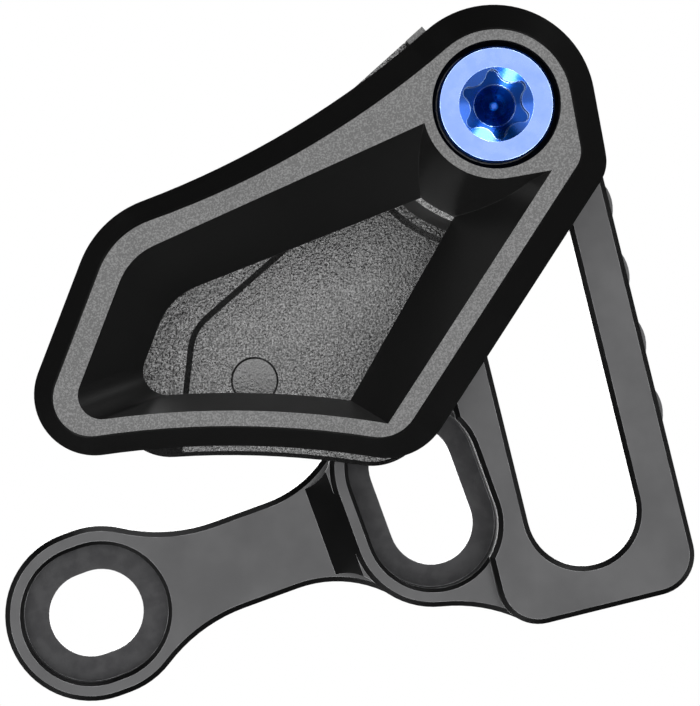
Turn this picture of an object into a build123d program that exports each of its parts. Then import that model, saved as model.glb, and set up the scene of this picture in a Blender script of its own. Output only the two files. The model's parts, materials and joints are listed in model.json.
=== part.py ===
"""Two-bolt bicycle chain guide: a slotted aluminium bracket and a moulded cage clamped to its leg.

The front of the guide, seen from the drive side, faces -Y. X runs to the right and Z up.
Heights are measured outward from the face that meets the bicycle frame, so a height h lies at Y = -h.
The origin is the middle of the lower bolt slot, on that face.
"""

import os
from math import cos, radians, sin, sqrt, tan

from build123d import *

# Bracket: line of the two frame bolts
MOUNT_TILT = 20.0          # angle of the bolt line above X, degrees
BOLT_SPACING = 27.3        # between the middles of the two bolt slots
BOLT_SLOT_WIDTH = 6.6      # clearance for a 6 mm bolt
EYE_TRAVEL = 0.9           # adjustment in the eye, along the bolt line
BOSS_TRAVEL = 4.8          # adjustment in the boss, across the bolt line

# Bracket: eye, arm and boss
EYE_RADIUS = 6.75
EYE_RECESS_RADIUS = 5.28
ARM_WIDTH = 7.2
ARM_HEIGHT = 3.6
NECK_FILLET = 13.0         # plan fillet from the arm into the eye
ROOT_FILLET = 9.0          # plan fillet from the arm into the boss
RAMP_FILLET = 3.0          # the same fillet, on the step up to the boss
BOSS_RADIUS = 6.5
BOSS_RECESS_RADIUS = 5.05
BOSS_HEIGHT = 6.0
SEAT_HEIGHT = 1.8          # floor under both bolt heads
PLATE_CHAMFER = 0.4
MOUTH_CHAMFER = 0.3        # on the recesses
STEP_ANGLE = 45.0          # slope from the arm up to the boss, degrees

# Bracket: slotted leg
LEG_TILT = 13.8            # lean of the leg from vertical, degrees
LEG_OFFSET = 11.76         # from the boss slot to the leg's slot, square to the leg
LEG_DROP = 4.1             # lower end of the leg's slot below the boss slot, along the leg
LEG_SLOT_WIDTH = 8.6
LEG_SLOT_TRAVEL = 32.0     # between the end centres of the slot
LEG_BAR = 3.56             # bar left on each side of the slot
LEG_CORNER = 3.2
LEG_BACK = 4.0             # the leg's back is raised to clear the nut
LEG_FRONT = 8.0
WEB_FILLET = 12.0          # plan fillet from the boss into the foot of the leg
MARK_COUNT = 4             # height marks on the edge of the leg
MARK_PITCH = 5.5
MARK_FIRST = 6.6           # lowest mark above the slot's lower end centre
MARK_LENGTH = 2.6
MARK_RISE = 0.27
MARK_TOP_GAP = 0.8         # marks stop this far behind the leg's front

# Cage: outline seen from the front, from the bolt round the edge
HEAD_RADIUS = 7.7
BACK_EDGE_ANGLE = 10.5     # short edge beside the head, from vertical
BACK_EDGE_LENGTH = 6.27
TAIL_EDGE_ANGLE = 32.9     # long edge down to the sole, from vertical
TAIL_EDGE_LENGTH = 26.7
SOLE_CHORD = 31.7
SOLE_SLOPE = 1.5           # fall of the sole's chord towards the nose, degrees
SOLE_RADIUS = 68.0
NOSE_EDGE_ANGLE = 20.9     # edge at the nose, from vertical
NOSE_EDGE_LENGTH = 21.0
SCOOP_RADIUS = 70.0        # hollow top edge, which runs into the head
BACK_CORNER = 2.6
HEEL_CORNER = 5.0
TOE_CORNER = 4.6
BROW_CORNER = 8.0

# Cage: depths
INNER_THICKNESS = 3.0
CHANNEL_WIDTH = 9.0        # room for the chain between the halves
OUTER_THICKNESS = 5.5

# Outer half: rim, window and bolt seat
HEAD_FLANK = 1.92          # runs of the sloping outside wall, seen from the front
TAIL_FLANK = 2.17
SOLE_FLANK = 1.38
NOSE_FLANK = 1.46
BROW_FLANK = 1.45          # at the nose end of the hollow top edge
FLANK_ANGLE = 29.0         # slope of that wall, which ends on a straight land, degrees
RIM_BACK_CORNER = 2.2
RIM_HEEL_CORNER = 3.2
RIM_TOE_CORNER = 3.0
RIM_BROW_CORNER = 6.4
NOSE_RIM = 1.87            # widths of the rim
TAIL_RIM = 1.53
SOLE_RIM = 1.3
BROW_ANGLE = 24.4          # upper edge of the window, above X
BROW_OFFSET = 0.95         # that edge's line passes this far above the bolt axis
COLLAR_RADIUS = 5.6        # ring of rim round the bolt head
COLLAR_END_ANGLE = -80.0   # direction from the bolt in which the ring runs out, degrees
NOSE_WALL_RUN = 3.9        # slopes from the rim down to the opening
TAIL_WALL_RUN = 3.9
SOLE_WALL_RUN = 1.3
BROW_WALL_DROP = 5.35
BROW_WALL_ANGLE = 2.8      # the opening's upper edge lies flatter than the rim's, degrees
TAIL_WALL_ANGLE = 3.4      # the opening's tail edge stands steeper than the rim's, degrees
OPENING_COLLAR_RADIUS = 8.8
OPENING_COLLAR_END_ANGLE = -117.0
BROW_WINDOW_CORNER = 5.0
TOE_WINDOW_CORNER = 1.8
RIM_BEVEL = 0.15           # on the rim's outer edge
PARTING_LAND = 0.6         # the widest edge lies this far in front of the chain side
LEAD_ANGLE = 40.0          # lead-in round the chain side, degrees
SEAT_DEPTH = 3.0           # counterbore for the bolt head
SEAT_CLEARANCE = 0.45
SEAT_GAP = 0.05            # left flat round the bolt head by the bevel on the seat's floor
BOLT_HOLE = 6.4

# Inner half
INNER_INSET = 0.3          # its edges stay this far inside the outer half
NOSE_SETBACK = 5.7         # its nose stops short of the outer half's
LIP_DROP = 0.95            # its sole shows below the outer half
INNER_TOE_CORNER = 4.4
INNER_BROW_CORNER = 4.0
BOSS_WALL_RADIUS = 9.2     # block that spaces the halves, at the outer half
BOSS_WALL_DRAFT_ANGLE = 3.5    # degrees
INNER_LEAD_ANGLE = 30.0    # lead-in round its chain side, degrees
PAD_LEAD = 0.6             # the lead-in starts this far behind the sunken chain face
PAD_DEPTH = 0.8            # sunken chain face
PAD_STEP_ANGLE = 30.0      # slope of the step beside it, from the bolt's direction, degrees
PAD_CLEARANCE = 0.6        # from the foot of the spacing block to the sunken face
PAD_EDGE_ANGLE = 41.1      # upper part of the step beside the sunken face, above X
PAD_EDGE_OFFSET = 2.48     # that step's line passes this far above the bolt axis
PAD_KNEE = 28.4            # along the step to its knee, from the bolt's foot on it
PAD_LOWER_ANGLE = 83.8     # lower part of the step
PAD_KNEE_FILLET = 4.0
EJECTOR_X = -18.0
EJECTOR_Z = -20.85
EJECTOR_RADIUS = 1.85
EJECTOR_DEPTH = 0.15

# Bridge on the inner half and lug on the outer half, which key the two together
BRIDGE_ANGLE = 42.0
BRIDGE_REACH = 8.15        # outer face of the bridge from the bolt axis
BRIDGE_LENGTH = 6.9
BRIDGE_THICKNESS = 2.6
LUG_LENGTH = 1.6
LUG_DEPTH = 2.5
LUG_HEIGHT = 1.5
KEY_CLEARANCE = 0.2

# Bolt
BOLT_RADIUS = 2.95
HEAD_BOLT_RADIUS = 4.4
HEAD_HEIGHT = 2.8
HEAD_CHAMFER = 0.15
TIP_CHAMFER = 0.5
SOCKET_TIP_RADIUS = 2.66   # six-lobe socket
SOCKET_WAIST_RADIUS = 1.95
SOCKET_FLUTE_RADIUS = 1.15
SOCKET_LOBES = 6
SOCKET_DEPTH = 1.8         # at the ends of the lobes
SOCKET_FLOOR_ANGLE = 30.0  # fall of the socket's floor towards the drilled centre, degrees
SOCKET_ANGLE = 37.0        # direction of one lobe, degrees
SOCKET_CHAMFER_RADIUS = 2.82
SOCKET_CHAMFER_ANGLE = 120.0
PILOT_RADIUS = 1.58
PILOT_DEPTH = 0.7
PILOT_POINT_ANGLE = 118.0

# Slider nut behind the leg
NUT_FIT = 0.1              # between the nut's neck and the slot, on each side
NUT_TRAVEL = 6.0           # between the end centres of the neck
NUT_FLANGE_RADIUS = 5.5
NUT_FLANGE_THICKNESS = 1.8
NUT_KEY = 1.2              # the neck stands this far into the inner half
NUT_BORE_RADIUS = 3.0
BOLT_TIP_REACH = 0.8       # bolt end beyond the nut's flange
RELIEF_CLEARANCE = 0.3     # between the flange and the boss

LEG_RADIUS = LEG_SLOT_WIDTH / 2 + LEG_BAR
INNER_BACK = LEG_FRONT
INNER_FRONT = INNER_BACK + INNER_THICKNESS
OUTER_BACK = INNER_FRONT + CHANNEL_WIDTH
OUTER_FRONT = OUTER_BACK + OUTER_THICKNESS
SEAT_FLOOR = OUTER_FRONT - SEAT_DEPTH
FLANGE_BACK = LEG_BACK - NUT_FLANGE_THICKNESS
FAR = 200.0                # beyond every edge of the guide
OVERCUT = 1.0              # cutters run this far past the faces they open
NEARLY = 0.001


def at(height):
    """Sketch plane that faces the front, at a height above the frame face."""
    return Plane.XZ.offset(height)


def ray(angle):
    """Unit vector at an angle above X, in the sketch plane."""
    return Vector(cos(radians(angle)), sin(radians(angle)))


def meet(point_a, angle_a, point_b, angle_b):
    """Point where two lines cross, each given by a point and an angle."""
    along_a = ray(angle_a)
    along_b = ray(angle_b)
    gap = point_b - point_a
    turn = along_a.X * along_b.Y - along_a.Y * along_b.X
    return point_a + along_a * ((gap.X * along_b.Y - gap.Y * along_b.X) / turn)


def enter(point, angle, centre, radius):
    """Point where a line, followed along its angle, first meets a circle."""
    along = ray(angle)
    gap = point - centre
    half = gap.X * along.X + gap.Y * along.Y
    rest = gap.X ** 2 + gap.Y ** 2 - radius ** 2
    return point - along * (sqrt(half ** 2 - rest) + half)


def near(shape, point):
    """The corner of a sketch that lies nearest to a point."""
    return shape.vertices().sort_by_distance(Vertex(point.X, point.Y, 0))[0]


BOSS_CENTRE = ray(MOUNT_TILT) * BOLT_SPACING
LEG_SIDE = ray(LEG_TILT)
LEG_UP = ray(LEG_TILT + 90)
LEG_FOOT = BOSS_CENTRE + LEG_SIDE * LEG_OFFSET - LEG_UP * LEG_DROP
BOLT_CENTRE = LEG_FOOT + LEG_UP * LEG_SLOT_TRAVEL

MOUNT = Rot(0, 0, MOUNT_TILT)
LEG = Pos(LEG_FOOT.X, LEG_FOOT.Y) * Rot(0, 0, LEG_TILT)
CAGE = Pos(BOLT_CENTRE.X, BOLT_CENTRE.Y)
BRIDGE = Rot(0, 0, BRIDGE_ANGLE)


def prism(sketch, bottom, top):
    """Straight solid on a sketch, between two heights."""
    return extrude(at(bottom) * sketch, top - bottom)


def bevelled(sketch, bottom, top, bevel):
    """Straight solid on a sketch with its front edge bevelled at 45 degrees."""
    body = prism(sketch, bottom, top - bevel)
    return body + extrude(at(top - bevel) * sketch, bevel, taper=45)


def level(shape, height):
    """Edges of a solid that lie at one height."""
    return shape.edges().filter_by_position(Axis.Y, -height - NEARLY, -height + NEARLY)


def flared_cut(sketch, bottom, top, bevel):
    """Cutter for a hole or recess whose mouth, at the top height, is bevelled at 45 degrees."""
    mouth = offset(sketch, bevel, kind=Kind.ARC)
    return prism(sketch, bottom, top + bevel) + extrude(at(top) * mouth, -bevel, taper=45)


def oblong(travel, radius, turn=0.0):
    """Slot-shaped sketch about its middle."""
    return SlotCenterToCenter(travel, 2 * radius, rotation=turn)


def apart(centre_a, distance_a, centre_b, distance_b):
    """Point at two given distances from two centres, on the left of the way from a to b."""
    gap = centre_b - centre_a
    along = (distance_a ** 2 - distance_b ** 2 + gap.length ** 2) / (2 * gap.length)
    aside = sqrt(distance_a ** 2 - along ** 2)
    step = gap / gap.length
    return centre_a + step * along + Vector(-step.Y, step.X) * aside


def arm_outline(root_fillet):
    """Eye, arm and boss in plan, with the bolt line along the sketch's X."""
    eye = oblong(EYE_TRAVEL, EYE_RADIUS)
    arm = Pos(BOLT_SPACING / 2, 0) * Rectangle(BOLT_SPACING, ARM_WIDTH)
    boss = Pos(BOLT_SPACING, 0) * oblong(BOSS_TRAVEL, BOSS_RADIUS, 90)
    outline = eye + arm + boss
    side = ARM_WIDTH / 2
    eye_end = EYE_TRAVEL / 2 + sqrt(EYE_RADIUS ** 2 - side ** 2)
    for way in (-1, 1):
        outline = fillet(near(outline, Vector(eye_end, way * side)), NECK_FILLET)
        outline = fillet(near(outline, Vector(BOLT_SPACING - BOSS_RADIUS, way * side)), root_fillet)
    return outline


def make_boss():
    """Boss round the upper bolt slot, with the web that runs into the foot of the leg."""
    plan = Pos(BOSS_CENTRE.X, BOSS_CENTRE.Y) * oblong(BOSS_TRAVEL, BOSS_RADIUS, MOUNT_TILT + 90)
    end = BOSS_CENTRE - ray(MOUNT_TILT + 90) * (BOSS_TRAVEL / 2)
    corner = LEG_FOOT - (LEG_SIDE + LEG_UP) * (LEG_RADIUS - LEG_CORNER)
    hollow = apart(corner, LEG_CORNER + WEB_FILLET, end, BOSS_RADIUS + WEB_FILLET)
    web = make_face(Polyline(end, hollow, corner, close=True))
    scoop = Pos(hollow.X, hollow.Y) * Circle(WEB_FILLET)
    web_body = prism(web, LEG_BACK, BOSS_HEIGHT)
    web_body = web_body - flared_cut(scoop, -OVERCUT, BOSS_HEIGHT, PLATE_CHAMFER)
    return bevelled(plan, 0, BOSS_HEIGHT, PLATE_CHAMFER) + web_body


def leg_outline():
    """Leg in plan, with the lower end centre of its slot at the sketch's origin."""
    bar = Pos(0, (LEG_SLOT_TRAVEL - LEG_RADIUS) / 2) * Rectangle(
        2 * LEG_RADIUS, LEG_SLOT_TRAVEL + LEG_RADIUS
    )
    bar = fillet(bar.vertices().sort_by(Axis.Y)[:2], LEG_CORNER)
    return bar + Pos(0, LEG_SLOT_TRAVEL) * Circle(LEG_RADIUS)


def height_marks():
    """Low ribs on the right edge of the leg, one for each marked height of the cage."""
    radius = (MARK_LENGTH ** 2 / 4 + MARK_RISE ** 2) / (2 * MARK_RISE)
    places = [
        Pos(LEG_RADIUS + MARK_RISE - radius, MARK_FIRST + step * MARK_PITCH)
        for step in range(MARK_COUNT)
    ]
    band = Pos(LEG_RADIUS, LEG_SLOT_TRAVEL / 2) * Rectangle(2 * MARK_LENGTH, LEG_SLOT_TRAVEL)
    marks = [place * Circle(radius) & band for place in places]
    return Sketch() + marks


def make_step():
    """Wedge that takes the boss down to the arm with an even slope, across the bolt line."""
    rise = BOSS_HEIGHT - PLATE_CHAMFER - ARM_HEIGHT
    top = BOLT_SPACING - BOSS_RADIUS
    foot = top - rise / tan(radians(STEP_ANGLE))
    inside = BOLT_SPACING - BOSS_RADIUS / 2
    band = Pos((foot + inside) / 2, 0) * Rectangle(inside - foot, 4 * BOSS_RADIUS)
    block = prism(MOUNT * (arm_outline(RAMP_FILLET) & band), 0, BOSS_HEIGHT - PLATE_CHAMFER)
    slope = make_face(
        Polyline((foot, ARM_HEIGHT), (top, ARM_HEIGHT + rise), (foot, ARM_HEIGHT + rise), close=True)
    )
    across = Plane.XZ * MOUNT * Rot(90, 0, 0)
    return block - extrude(across * slope, 2 * BOSS_RADIUS, both=True)


def make_mount_plate():
    """Bracket machined from plate: eye, stepped arm, boss and slotted leg."""
    arm = bevelled(MOUNT * arm_outline(ROOT_FILLET), 0, ARM_HEIGHT, PLATE_CHAMFER)
    relief_edge = NUT_FLANGE_RADIUS + RELIEF_CLEARANCE
    relief = LEG * Pos(FAR / 2 - relief_edge, 0) * Rectangle(FAR, FAR)
    foot = arm + make_boss() + make_step() - prism(relief, -OVERCUT, LEG_BACK)
    leg = bevelled(LEG * leg_outline(), LEG_BACK, LEG_FRONT, PLATE_CHAMFER)
    marks = prism(LEG * height_marks(), LEG_BACK, LEG_FRONT - MARK_TOP_GAP)
    plate = foot + leg + marks
    return plate - plate_cuts()


def plate_cuts():
    """The two bolt slots with their recesses, and the slot in the leg."""
    eye = MOUNT * oblong(EYE_TRAVEL, BOLT_SLOT_WIDTH / 2)
    eye_recess = MOUNT * oblong(EYE_TRAVEL, EYE_RECESS_RADIUS)
    boss_place = Pos(BOSS_CENTRE.X, BOSS_CENTRE.Y)
    boss = boss_place * oblong(BOSS_TRAVEL, BOLT_SLOT_WIDTH / 2, MOUNT_TILT + 90)
    boss_recess = boss_place * oblong(BOSS_TRAVEL, BOSS_RECESS_RADIUS, MOUNT_TILT + 90)
    leg = LEG * Pos(0, LEG_SLOT_TRAVEL / 2) * oblong(LEG_SLOT_TRAVEL, LEG_SLOT_WIDTH / 2, 90)
    return [
        prism(eye, -OVERCUT, ARM_HEIGHT),
        prism(boss, -OVERCUT, BOSS_HEIGHT),
        flared_cut(eye_recess, SEAT_HEIGHT, ARM_HEIGHT, MOUTH_CHAMFER),
        flared_cut(boss_recess, SEAT_HEIGHT, BOSS_HEIGHT, MOUTH_CHAMFER),
        flared_cut(boss_recess, BOSS_HEIGHT, LEG_FRONT, PLATE_CHAMFER),
        flared_cut(leg, -OVERCUT, LEG_FRONT, PLATE_CHAMFER),
    ]


def cage_corners():
    """Corners of the outer half's widest edge about the bolt axis, before rounding."""
    back_top = ray(BACK_EDGE_ANGLE) * HEAD_RADIUS
    back = back_top + ray(BACK_EDGE_ANGLE - 90) * BACK_EDGE_LENGTH
    heel = back + ray(270 - TAIL_EDGE_ANGLE) * TAIL_EDGE_LENGTH
    toe = heel + ray(180 + SOLE_SLOPE) * SOLE_CHORD
    brow = toe + ray(90 - NOSE_EDGE_ANGLE) * NOSE_EDGE_LENGTH
    return back, heel, toe, brow


def cage_outline(insets, corners):
    """Edge of a cage half about the bolt axis, moved in from the outer half's widest edge.

    insets gives the moves at the head, tail, sole, nose and brow. corners gives the radii of the back,
    heel, toe and brow corners.
    """
    head_in, tail_in, sole_in, nose_in, brow_in = insets
    axis = Vector(0, 0)
    back_angle = BACK_EDGE_ANGLE - 90
    tail_angle = 270 - TAIL_EDGE_ANGLE
    nose_angle = 90 - NOSE_EDGE_ANGLE
    back, heel, toe, brow = cage_corners()
    sole_centre = apart(heel, SOLE_RADIUS, toe, SOLE_RADIUS)
    scoop_centre = apart(brow, SCOOP_RADIUS, axis, SCOOP_RADIUS + HEAD_RADIUS)

    head_radius = HEAD_RADIUS - head_in
    sole_radius = SOLE_RADIUS + sole_in
    back_top = ray(BACK_EDGE_ANGLE) * head_radius
    tail_point = heel + ray(tail_angle - 90) * tail_in
    nose_point = brow + ray(nose_angle - 90) * nose_in
    back = meet(back_top, back_angle, tail_point, tail_angle)
    heel = enter(back, tail_angle, sole_centre, sole_radius)
    toe = enter(nose_point, nose_angle + 180, sole_centre, sole_radius)
    brow = enter(toe, nose_angle, scoop_centre, SCOOP_RADIUS + brow_in)
    scoop_centre = apart(brow, SCOOP_RADIUS, axis, SCOOP_RADIUS + head_radius)
    touch = scoop_centre * (head_radius / scoop_centre.length)
    sole_top = sole_centre + (heel + toe - sole_centre * 2).normalized() * sole_radius
    scoop_low = scoop_centre + (brow + touch - scoop_centre * 2).normalized() * SCOOP_RADIUS
    edges = [
        Line(back_top, back),
        Line(back, heel),
        ThreePointArc(heel, sole_top, toe),
        Line(toe, brow),
        ThreePointArc(brow, scoop_low, touch),
        ThreePointArc(touch, (touch + back_top).normalized() * head_radius, back_top),
    ]
    outline = make_face(edges)
    for point, radius in zip((back, heel, toe, brow), corners):
        outline = fillet(near(outline, point), radius)
    return outline


def window_outline(rim, angles, collar_radius, collar_end):
    """Window in the outer half about the bolt axis, and the wedge that takes the collar into the tail's rim.

    rim gives the distances in from the nose, tail and sole edges, and the height of the upper edge's
    line above the bolt axis. angles gives the lean of the tail edge and the slope of the upper edge.
    The window runs on to the bolt axis, where the collar and the wedge are left standing in it.
    """
    nose_in, tail_in, sole_in, brow_up = rim
    tail_lean, brow_slope = angles
    nose_angle = 90 - NOSE_EDGE_ANGLE
    tail_angle = 270 - tail_lean
    back, heel, toe, brow = cage_corners()
    sole_centre = apart(heel, SOLE_RADIUS, toe, SOLE_RADIUS)
    sole_radius = SOLE_RADIUS + sole_in
    nose_point = brow + ray(nose_angle - 90) * nose_in
    tail_point = (back + heel) / 2 + ray(180 - TAIL_EDGE_ANGLE) * tail_in
    brow_point = ray(brow_slope + 90) * brow_up
    upper_nose = meet(nose_point, nose_angle, brow_point, brow_slope)
    ring_end = ray(collar_end) * collar_radius
    run_out = ray(collar_end + 90)
    tip = meet(ring_end, collar_end + 90, tail_point, tail_angle)
    lower_heel = enter(tip, tail_angle, sole_centre, sole_radius)
    lower_toe = enter(upper_nose, nose_angle + 180, sole_centre, sole_radius)
    sole_top = sole_centre + (lower_heel + lower_toe - sole_centre * 2).normalized() * sole_radius
    edges = [
        Line(upper_nose, brow_point),
        Line(brow_point, tip),
        Line(tip, lower_heel),
        ThreePointArc(lower_heel, sole_top, lower_toe),
        Line(lower_toe, upper_nose),
    ]
    outline = make_face(edges)
    outline = fillet(near(outline, upper_nose), BROW_WINDOW_CORNER)
    outline = fillet(near(outline, lower_toe), TOE_WINDOW_CORNER)
    wedge = make_face(Polyline(ring_end, tip + run_out * OVERCUT, -ring_end, close=True))
    return outline, wedge


def make_window():
    """Cutter for the window: its walls slope from the rim down to the smaller opening."""
    nose_in = NOSE_FLANK + NOSE_RIM
    tail_in = TAIL_FLANK + TAIL_RIM
    sole_in = SOLE_FLANK + SOLE_RIM
    mouth, mouth_wedge = window_outline(
        (nose_in, tail_in, sole_in, BROW_OFFSET),
        (TAIL_EDGE_ANGLE, BROW_ANGLE),
        COLLAR_RADIUS,
        COLLAR_END_ANGLE,
    )
    opening, opening_wedge = window_outline(
        (
            nose_in + NOSE_WALL_RUN,
            tail_in + TAIL_WALL_RUN,
            sole_in + SOLE_WALL_RUN,
            BROW_OFFSET - BROW_WALL_DROP,
        ),
        (TAIL_EDGE_ANGLE - TAIL_WALL_ANGLE, BROW_ANGLE - BROW_WALL_ANGLE),
        OPENING_COLLAR_RADIUS,
        OPENING_COLLAR_END_ANGLE,
    )
    back = at(OUTER_BACK) * CAGE
    front = at(OUTER_FRONT) * CAGE
    cut = loft([back * opening.face(), front * mouth.face()], ruled=True)
    wedge = loft([back * opening_wedge.face(), front * mouth_wedge.face()], ruled=True)
    standing = (Align.CENTER, Align.CENTER, Align.MIN)
    collar = back * Cone(OPENING_COLLAR_RADIUS, COLLAR_RADIUS, OUTER_THICKNESS, align=standing)
    return cut - collar - wedge


def bridge_block(start, end, inner, outer):
    """Oblong beside the bolt axis, along the bridge's direction, between two distances from the axis."""
    middle = Pos((start + end) / 2, (inner + outer) / 2)
    return CAGE * BRIDGE * middle * Rectangle(end - start, outer - inner)


def make_outer_cage():
    """Outer half: sloping flanks, raised rim, window, bolt seat and the lug that keys it."""
    parting = OUTER_BACK + PARTING_LAND
    widest = CAGE * cage_outline((0, 0, 0, 0, 0), (BACK_CORNER, HEEL_CORNER, TOE_CORNER, BROW_CORNER))
    rim = CAGE * cage_outline(
        (HEAD_FLANK, TAIL_FLANK, SOLE_FLANK, NOSE_FLANK, BROW_FLANK),
        (RIM_BACK_CORNER, RIM_HEEL_CORNER, RIM_TOE_CORNER, RIM_BROW_CORNER),
    )
    shoulder = OUTER_FRONT - RIM_BEVEL
    slope = extrude(at(shoulder) * rim, parting - shoulder, taper=-FLANK_ANGLE)
    flank = slope & prism(widest, parting, shoulder)
    lead = extrude(at(parting) * widest, -PARTING_LAND, taper=LEAD_ANGLE)
    edge = extrude(at(shoulder) * rim, RIM_BEVEL, taper=45)
    body = flank + lead + edge - make_window()
    lug = bridge_block(-LUG_LENGTH, 0, BRIDGE_REACH - BRIDGE_THICKNESS + KEY_CLEARANCE, BRIDGE_REACH)
    body = body + prism(lug, OUTER_BACK - LUG_DEPTH, OUTER_BACK + LUG_HEIGHT)
    hole = CAGE * Circle(BOLT_HOLE / 2)
    seat = prism(CAGE * Circle(HEAD_BOLT_RADIUS + SEAT_CLEARANCE), SEAT_FLOOR, OUTER_FRONT + OVERCUT)
    body = body - chamfer(level(seat, SEAT_FLOOR), SEAT_CLEARANCE - SEAT_GAP)
    return body - prism(hole, OUTER_BACK - LUG_DEPTH - OVERCUT, OUTER_FRONT)


def pad_outline():
    """Sunken chain face of the inner half, about the bolt axis, open to the tail and the sole."""
    step_angle = PAD_EDGE_ANGLE
    start = ray(step_angle + 90) * PAD_EDGE_OFFSET
    knee = start - ray(step_angle) * PAD_KNEE
    foot = knee - ray(PAD_LOWER_ANGLE) * SOLE_CHORD
    far = Vector(HEAD_RADIUS + TAIL_EDGE_LENGTH, foot.Y)
    outline = make_face(Polyline(start, knee, foot, far, Vector(far.X, start.Y), close=True))
    outline = fillet(near(outline, knee), PAD_KNEE_FILLET)
    return outline


def make_inner_cage():
    """Inner half: plate with a sunken chain face, spacing block, bridge and keyed back."""
    plan = cage_outline(
        (INNER_INSET, INNER_INSET, -LIP_DROP, NOSE_SETBACK, INNER_INSET),
        (BACK_CORNER - INNER_INSET, HEEL_CORNER - INNER_INSET, INNER_TOE_CORNER, INNER_BROW_CORNER),
    )
    foot_radius = BOSS_WALL_RADIUS + CHANNEL_WIDTH * tan(radians(BOSS_WALL_DRAFT_ANGLE))
    lead = PAD_DEPTH + PAD_LEAD
    body = prism(CAGE * plan, INNER_BACK, INNER_FRONT - lead)
    body = body + extrude(at(INNER_FRONT - lead) * CAGE * plan, lead, taper=INNER_LEAD_ANGLE)
    pad = CAGE * (pad_outline() - Circle(foot_radius + PAD_CLEARANCE))
    body = body - extrude(at(INNER_FRONT) * pad, -PAD_DEPTH, taper=PAD_STEP_ANGLE)
    mark = CAGE * Pos(EJECTOR_X, EJECTOR_Z) * Circle(EJECTOR_RADIUS)
    pad_floor = INNER_FRONT - PAD_DEPTH
    body = body - extrude(at(pad_floor) * mark, -EJECTOR_DEPTH, taper=45)
    foot = at(INNER_FRONT) * CAGE * Circle(foot_radius)
    drafted = extrude(foot, CHANNEL_WIDTH, taper=BOSS_WALL_DRAFT_ANGLE)
    block = prism(CAGE * plan, INNER_FRONT, OUTER_BACK) & drafted
    block = block + prism(CAGE * (plan & Circle(foot_radius)), INNER_BACK, INNER_FRONT)
    inside = BRIDGE_REACH - BRIDGE_THICKNESS
    bridge = prism(bridge_block(-BRIDGE_LENGTH, 0, inside, BRIDGE_REACH), INNER_BACK, OUTER_BACK)
    body = body + block + bridge
    notch = bridge_block(-LUG_LENGTH - KEY_CLEARANCE, LUG_LENGTH, inside, BRIDGE_REACH + OVERCUT)
    body = body - prism(notch, OUTER_BACK - LUG_DEPTH - KEY_CLEARANCE, OUTER_BACK + OVERCUT)
    body = body - prism(CAGE * Circle(BOLT_HOLE / 2), INNER_BACK - OVERCUT, OUTER_BACK + OVERCUT)
    return body - prism(neck_outline(0), INNER_BACK - OVERCUT, INNER_BACK + NUT_KEY + NUT_FIT)


def neck_outline(gap):
    """Neck of the slider nut in plan, which runs from the bolt axis down the leg's slot."""
    middle = BOLT_CENTRE - LEG_UP * (NUT_TRAVEL / 2)
    return Pos(middle.X, middle.Y) * oblong(NUT_TRAVEL, LEG_SLOT_WIDTH / 2 - gap, LEG_TILT + 90)


def make_slider_nut():
    """Nut whose flange bears on the back of the leg and whose neck slides in the slot."""
    middle = BOLT_CENTRE - LEG_UP * (NUT_TRAVEL / 2)
    flange = Pos(middle.X, middle.Y) * oblong(NUT_TRAVEL, NUT_FLANGE_RADIUS, LEG_TILT + 90)
    body = prism(flange, FLANGE_BACK, LEG_BACK) + prism(neck_outline(NUT_FIT), LEG_BACK, INNER_BACK + NUT_KEY)
    bore = CAGE * Circle(NUT_BORE_RADIUS)
    return body - prism(bore, FLANGE_BACK - OVERCUT, INNER_BACK + NUT_KEY + OVERCUT)


def socket_outline():
    """Six-lobe socket about the bolt axis, whose round lobes run smoothly into the flutes between them."""
    pitch = 360 / SOCKET_LOBES
    reach = SOCKET_WAIST_RADIUS + SOCKET_FLUTE_RADIUS
    beside = reach * cos(radians(pitch / 2))
    spare = SOCKET_TIP_RADIUS ** 2 + reach ** 2 - SOCKET_FLUTE_RADIUS ** 2 - 2 * SOCKET_TIP_RADIUS * beside
    lobe_radius = spare / (2 * (SOCKET_TIP_RADIUS + SOCKET_FLUTE_RADIUS - beside))
    share = lobe_radius / (lobe_radius + SOCKET_FLUTE_RADIUS)

    def join(lobe_angle, flute_angle):
        lobe = ray(lobe_angle) * (SOCKET_TIP_RADIUS - lobe_radius)
        return lobe + (ray(flute_angle) * reach - lobe) * share

    edges = []
    for step in range(SOCKET_LOBES):
        lobe = SOCKET_ANGLE + pitch * step
        flute = lobe + pitch / 2
        start = join(lobe, flute - pitch)
        end = join(lobe, flute)
        edges.append(ThreePointArc(start, ray(lobe) * SOCKET_TIP_RADIUS, end))
        edges.append(ThreePointArc(end, ray(flute) * SOCKET_WAIST_RADIUS, join(lobe + pitch, flute)))
    return make_face(edges)


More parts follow.
